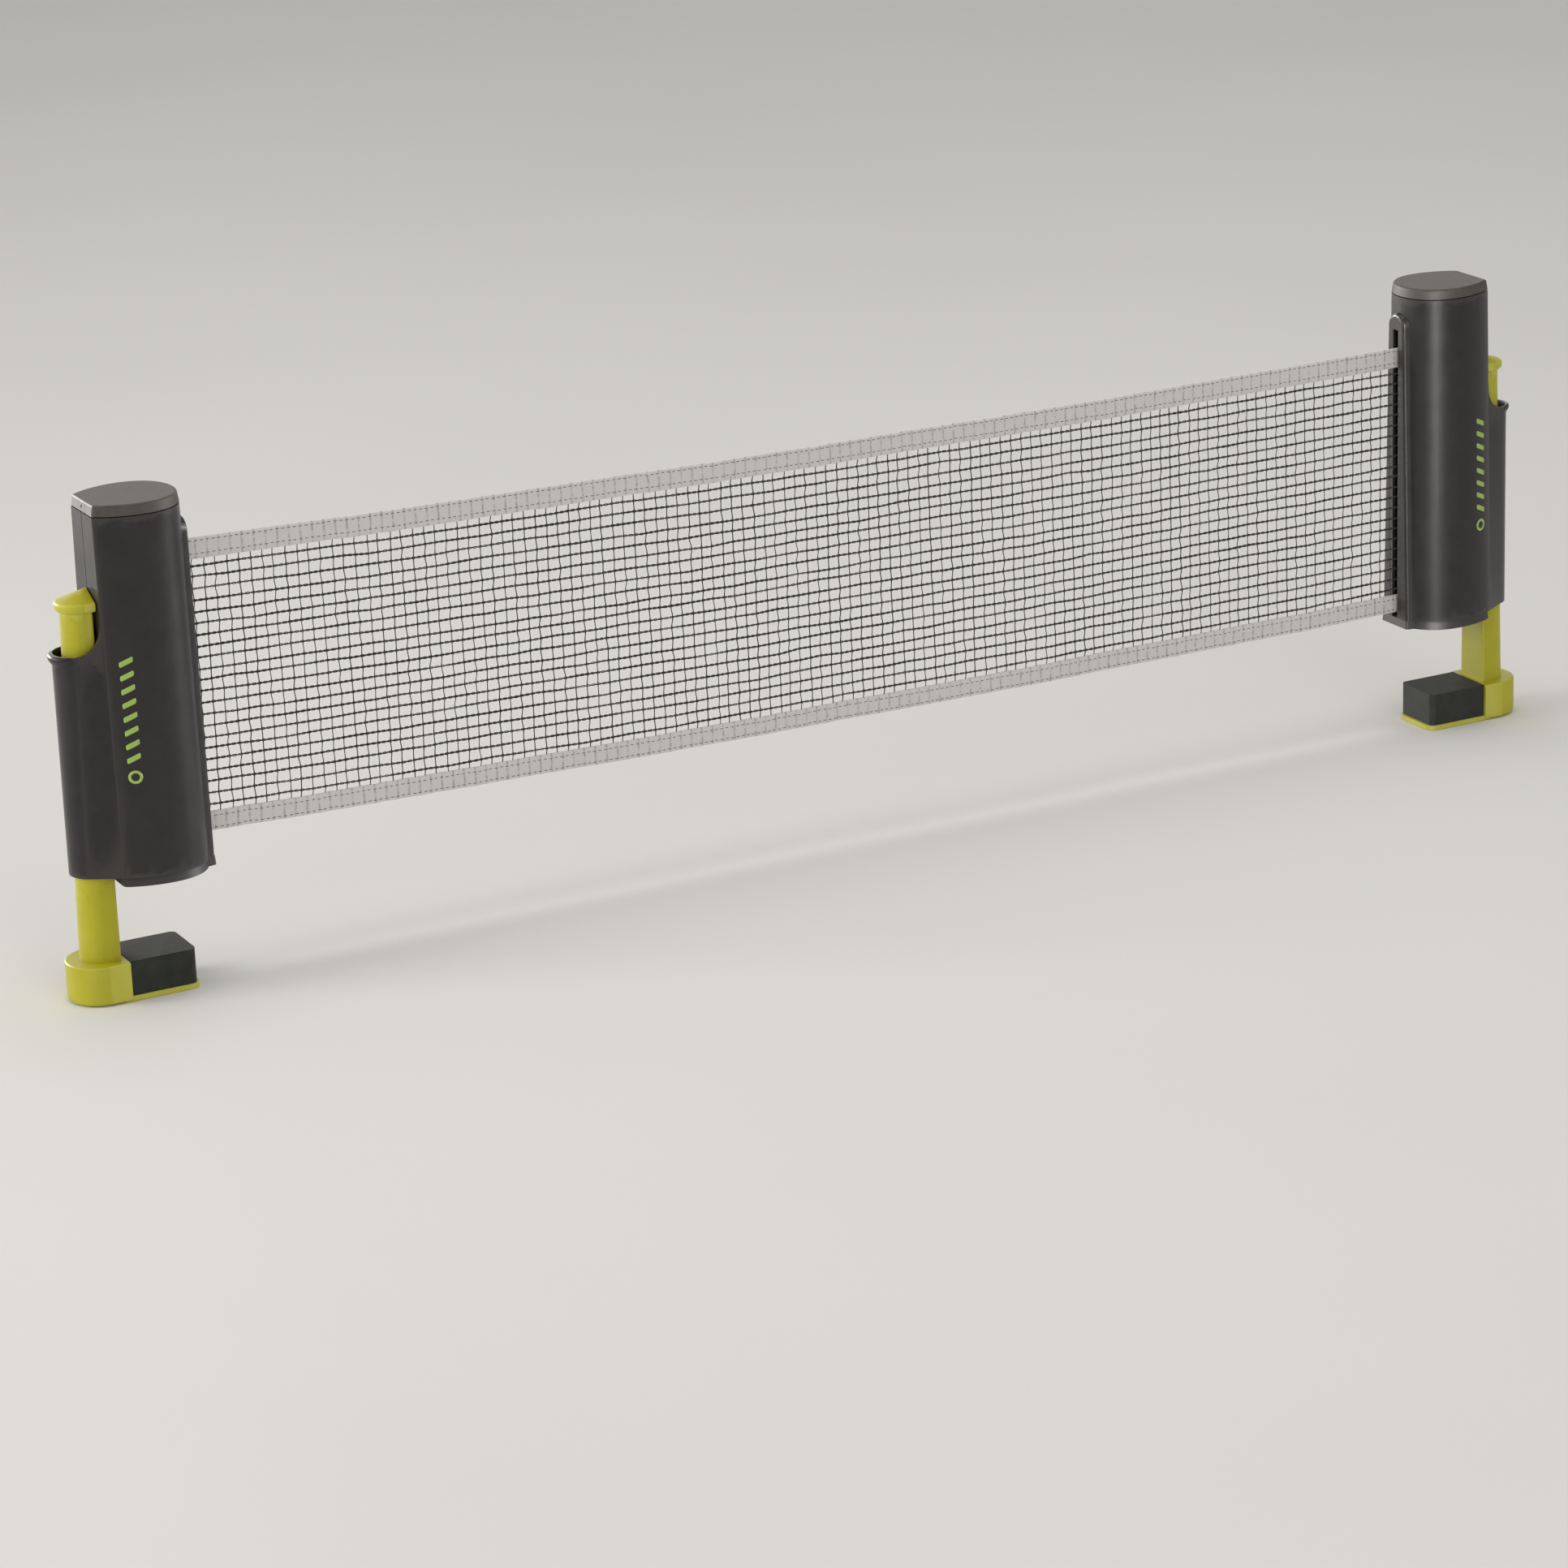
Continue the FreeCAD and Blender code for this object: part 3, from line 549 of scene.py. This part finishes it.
# ------------------------------------------------------------------ tapes
def tape(name, top_off, height, folded_up):
    """Tape folded over the net's edge: a hairpin section with a rounded fold, its two lips closed on the net."""
    half = 0.00058
    wall = 0.00030
    nx = 420
    xs = np.linspace(X0, X1, nx)
    outer, inner = [], []
    h = height
    # section in (y, depth from the folded edge), as a closed loop
    for a in np.linspace(math.pi, 0, 9):
        outer.append((half * math.cos(a), half - half * math.sin(a)))
    lip = [(half, h * 0.35), (half * 1.06, h * 0.7), (half * 0.98, h - 0.0002), (half * 0.72, h)]
    loop = [(-p[0], p[1]) for p in reversed(lip)] + outer + lip
    gi = 0.00020
    back = [(gi, h - 0.00005), (gi, h * 0.5), (gi, half + wall), (-gi, half + wall), (-gi, h * 0.5), (-gi, h - 0.00005)]
    loop = loop + back
    sec = np.array(loop)
    m_ = len(sec)
    rip = np.interp(xs, np.linspace(X0, X1, 150), rng.normal(0, 0.00009, 150))
    rip2 = np.interp(xs, np.linspace(X0, X1, 90), rng.normal(0, 0.00011, 90))
    verts = np.zeros((nx, m_, 3))
    yc = net_y(xs) + bulge(xs, 0 if folded_up else ROWS - 1) * 0.9
    dy = np.gradient(yc, xs)
    nrm = np.stack([-dy, np.ones_like(dy)], 1)
    nrm /= np.linalg.norm(nrm, axis=1)[:, None]
    edge_z = net_top(xs) - top_off + rip * 0.9
    for j, (py, pd) in enumerate(sec):
        k1 = pd / h
        depth = pd if folded_up else -pd
        swell = 1.0 + 0.10 * np.sin(2 * math.pi * xs / COL) * math.sin(math.pi * min(1, max(0, k1)))
        off = py * swell
        verts[:, j, 0] = xs + nrm[:, 0] * off
        verts[:, j, 1] = yc + nrm[:, 1] * off + rip2 * (0.4 + 0.6 * k1)
        verts[:, j, 2] = edge_z - depth
    v = verts.reshape(-1, 3)
    i = np.arange(nx - 1)[:, None] * m_
    j = np.arange(m_)[None, :]
    k2 = (j + 1) % m_
    quads = np.stack([i + j, i + k2, i + m_ + k2, i + m_ + j], -1).reshape(-1, 4)
    o = from_arrays(name, v, quads, M["tape"])
    bm = bmesh.new()
    bm.from_mesh(o.data)
    bmesh.ops.holes_fill(bm, edges=[e for e in bm.edges if e.is_boundary], sides=0)
    bmesh.ops.triangulate(bm, faces=[f for f in bm.faces if len(f.verts) > 4])
    bmesh.ops.recalc_face_normals(bm, faces=bm.faces)
    bm.to_mesh(o.data)
    bm.free()
    o.data.set_sharp_from_angle(angle=math.radians(50))
    return o, (yc, rip, rip2, xs, nrm)


top_tape, top_geo = tape("tape_top", 0.0, TOP_TAPE, True)
low_tape, low_geo = tape("tape_bottom", NET_H, LOW_TAPE, False)


def stitches(name, geo, top_off, height, folded_up, depths):
    """Lockstitch rows: short raised threads on both faces of the tape."""
    yc, rip, rip2, xs, nrm = geo
    parts = []
    pitch, long_, rad = 0.00290, 0.00175, 0.00021
    for dep, side in [(dp, sd) for dp in depths for sd in (-1, 1)]:
        k1 = dep / height
        for x in np.arange(X0 + 0.002, X1 - 0.002, pitch):
            x = x + rng.normal(0, 0.00008)
            s = np.linspace(-0.5, 0.5, 5)
            px = x + s * long_
            y0 = np.interp(px, xs, yc) + np.interp(px, xs, rip2) * (0.4 + 0.6 * k1)
            swell = 1.0 + 0.10 * np.sin(2 * math.pi * px / COL) * math.sin(math.pi * k1)
            lift = 0.00058 * 1.03 * swell + 0.00009 * np.cos(math.pi * s) - 0.00003
            z = net_top(px) - top_off + np.interp(px, xs, rip) * 0.9 - (dep if folded_up else -dep) \
                + rng.normal(0, 0.00006)
            nx_ = np.interp(px, xs, nrm[:, 0]); ny_ = np.interp(px, xs, nrm[:, 1])
            path = np.stack([px + nx_ * lift * side, y0 + ny_ * lift * side, z], 1)
            taper = rad * np.array([0.45, 0.95, 1.0, 0.95, 0.45])
            parts.append(tube(path, taper, 4))
    return strands(name, parts, M["stitch"])


top_stitch = stitches("tape_top_stitches", top_geo, 0.0, TOP_TAPE, True, (0.0016, 0.0078))
low_stitch = stitches("tape_bottom_stitches", low_geo, NET_H, LOW_TAPE, False, (0.0016, 0.0072))


for o in net_pieces:
    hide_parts("net_mesh")
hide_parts("net_top_tape")
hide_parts("net_bottom_tape")
for o in net_pieces + [top_tape, low_tape, top_stitch, low_stitch]:
    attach(o, "left_post")
    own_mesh(o)


# ------------------------------------------------------------------ net still wound on the reels
def wound(side):
    """A spiral of the two tapes and the mesh between them, wound on the reel tube."""
    x0 = 0.0 if side == "left" else PITCH
    sg = 1 if side == "left" else -1
    lo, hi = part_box(side + "_net_roll")
    turns, seg = 6.0, 56
    n = int(turns * seg) + 1
    th = np.linspace(0, turns * 2 * math.pi, n)
    rr = np.linspace(0.00855, 0.01345, n)
    wob = 0.00022 * np.sin(1.7 * th + 0.5) + 0.00013 * np.sin(5.3 * th)
    made = []
    for kind, z_hi, z_lo, half, mat in (("tape_top", hi.z, hi.z - TOP_TAPE, 0.00032, "tape"),
                                        ("mesh", hi.z - TOP_TAPE, lo.z + LOW_TAPE, 0.00024, "net_wound"),
                                        ("tape_bottom", lo.z + LOW_TAPE, lo.z, 0.00032, "tape")):
        dz = 0.0 if kind == "mesh" else 0.0004
        steps = 60 if kind == "mesh" else 7
        zs = np.linspace(z_lo + dz, z_hi - dz, steps)
        sec = [(half, z) for z in zs] + [(0.0, z_hi - dz + half * 0.7)] + [(-half, z) for z in zs[::-1]] \
            + [(0.0, z_lo + dz - half * 0.7)]
        m_ = len(sec)
        verts = np.zeros((n, m_, 3))
        for j, (o_, z) in enumerate(sec):
            ripple = 0.00010 * np.sin(z * 2 * math.pi / 0.0056) if kind == "mesh" else 0.0
            q = rr + o_ + ripple
            verts[:, j, 0] = x0 + sg * q * np.cos(th)
            verts[:, j, 1] = q * np.sin(th)
            verts[:, j, 2] = z + wob * (0.0 if kind == "mesh" else 0.5)
        i = np.arange(n - 1)[:, None] * m_
        j = np.arange(m_)[None, :]
        k2 = (j + 1) % m_
        quads = np.stack([i + j, i + k2, i + m_ + k2, i + m_ + j], -1).reshape(-1, 4)
        o = from_arrays("%s_wound_%s" % (side, kind), verts.reshape(-1, 3), quads, M[mat])
        bm = bmesh.new()
        bm.from_mesh(o.data)
        bmesh.ops.holes_fill(bm, edges=[e for e in bm.edges if e.is_boundary], sides=0)
        bmesh.ops.triangulate(bm, faces=[f for f in bm.faces if len(f.verts) > 4])
        bmesh.ops.recalc_face_normals(bm, faces=bm.faces)
        bm.to_mesh(o.data)
        bm.free()
        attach(o, side + "_reel")
        made.append(o)
    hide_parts(side + "_net_roll")
    return made


wound("left")
wound("right")

# ------------------------------------------------------------------ printed motif: slanted dashes and a ring
def surface(node):
    me = nodes[node].data
    bm = bmesh.new()
    bm.from_mesh(me)
    t = BVHTree.FromBMesh(bm)
    bm.free()
    return t


def motif(side):
    """Thin printed shapes laid on the front shell, each a closed skin 0.05 mm thick."""
    tree = surface(side + "_shell_front")
    sg = 1 if side == "left" else -1
    x0 = 0.0 if side == "left" else PITCH
    uc = -0.0142

    def at(a, z, lift):
        px = x0 + sg * (uc + a)
        hit, n, _, _ = tree.ray_cast(Vector((px, -0.06, z)), Vector((0, 1, 0)))
        return hit + n * lift

    verts, faces = [], []

    def skin(grid):
        """grid is rows of (a, z). Top and bottom skins joined at the rim."""
        base = len(verts)
        R, C = len(grid), len(grid[0])
        for lift in (0.00006, 0.00001):
            for row in grid:
                for a, z in row:
                    verts.append(at(a, z, lift))
        idx = lambda l, i, j: base + l * R * C + i * C + j
        for i in range(R - 1):
            for j in range(C - 1):
                faces.append((idx(0, i, j), idx(0, i, j + 1), idx(0, i + 1, j + 1), idx(0, i + 1, j)))
                faces.append((idx(1, i, j), idx(1, i + 1, j), idx(1, i + 1, j + 1), idx(1, i, j + 1)))
        ring = [(0, j) for j in range(C)] + [(i, C - 1) for i in range(1, R)] \
            + [(R - 1, j) for j in range(C - 2, -1, -1)] + [(i, 0) for i in range(R - 2, 0, -1)]
        for p, q in zip(ring, ring[1:] + ring[:1]):
            faces.append((idx(0, *q), idx(0, *p), idx(1, *p), idx(1, *q)))

    # a ladder of slanted dashes, and a ring under it
    for n_, zc in enumerate(np.linspace(0.0620, 0.1080, 8)):
        wide, tall, slant = 0.0030, 0.0013, 0.0012
        rows = []
        for t in np.linspace(-1, 1, 7):
            e = 1 - abs(t)
            trim = 0.00045 * max(0.0, 1 - e / 0.34) ** 2
            rows.append([(q * (wide - trim), zc + t * tall + slant * q) for q in np.linspace(-1, 1, 9)])
        skin(rows)
    rc, ro, ri = 0.0530, 0.0032, 0.0019
    rows = []
    for t in np.linspace(0, 2 * math.pi, 49):
        rows.append([(q * math.cos(t), rc + q * math.sin(t)) for q in (ri, (ri + ro) / 2, ro)])
    skin(rows)
    o = link(side + "_motif", verts, faces, M["motif"])
    bm = bmesh.new()
    bm.from_mesh(o.data)
    bmesh.ops.remove_doubles(bm, verts=bm.verts, dist=1e-7)
    bmesh.ops.recalc_face_normals(bm, faces=bm.faces)
    bm.to_mesh(o.data)
    bm.free()
    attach(o, side + "_post")
    return o


motifs = [motif("left"), motif("right")]

# ------------------------------------------------------------------ stage
floor_z = cad_box[0].z - 0.0002
k = Mat("floor_pale")
n1 = k.noise(2.2, 3.0)
k.color(k.ramp(n1, [(0.2, (0.835, 0.822, 0.795)), (0.8, (0.870, 0.857, 0.830))]))
k.rough(k.range(n1, 0.2, 0.8, 0.92, 1.0))
k.b.inputs["Specular IOR Level"].default_value = 0.0
floor = link("floor", [(-14, -10, floor_z), (16, -10, floor_z), (16, 26, floor_z), (-14, 26, floor_z)], [(0, 1, 2, 3)], k, False)

world = bpy.data.worlds.new("studio")
bpy.context.scene.world = world
world.use_nodes = True
wb = world.node_tree.nodes["Background"]
wb.inputs[0].default_value = (0.99, 0.985, 0.97, 1)
wb.inputs[1].default_value = 0.42


def area(name, at, to, size, watts, tint=(1, 1, 1), size_y=None, spread=180, card=False):
    """A soft rectangular light at one point, aimed at another; spread narrows it like a honeycomb grid.
    A card is a light that only shows as a reflection in smooth surfaces."""
    light = bpy.data.lights.new(name, "AREA")
    light.energy, light.color, light.size = watts, tint, size
    if size_y:
        light.shape, light.size_y = "RECTANGLE", size_y
    light.spread = math.radians(spread)
    o = bpy.data.objects.new(name, light)
    bpy.context.scene.collection.objects.link(o)
    o.location = at
    o.rotation_euler = (Vector(to) - Vector(at)).to_track_quat("-Z", "Y").to_euler()
    o.visible_camera = False
    o.visible_diffuse = not card
    return o


mid = (0.36, 0, 0.06)
area("key", (0.3, 0.1, 2.6), mid, 1.6, 19, (1.0, 0.98, 0.95))
area("front", (0.2, -2.9, 1.7), mid, 1.8, 12, (1.0, 0.98, 0.955))
area("left_side", (-2.3, 0.5, 0.95), (0, 0, 0.08), 1.2, 30, (1.0, 0.97, 0.93), 1.6)
area("left_rear", (-1.0, 2.4, 0.60), (0, 0, 0.10), 1.3, 38, (1.0, 0.97, 0.93), 0.9, 90, card=True)
area("back_wall", (2.6, 5.2, 1.75), (0.4, 0, 0.2), 6.0, 66, (1.0, 0.95, 0.89), 2.0, card=True)
area("strip_to_right_post", (0.05, -1.3, 0.36), (0.722, 0, 0.09), 0.22, 1.55, (1.0, 0.98, 0.96), 0.7, 34, card=True)
area("strip_to_left_post", (1.35, -0.55, 0.36), (0, 0, 0.09), 0.16, 0.80, (1.0, 0.98, 0.96), 0.7, 28, card=True)

bpy.context.scene.view_settings.view_transform = "Standard"
bpy.context.scene.view_settings.look = "None"
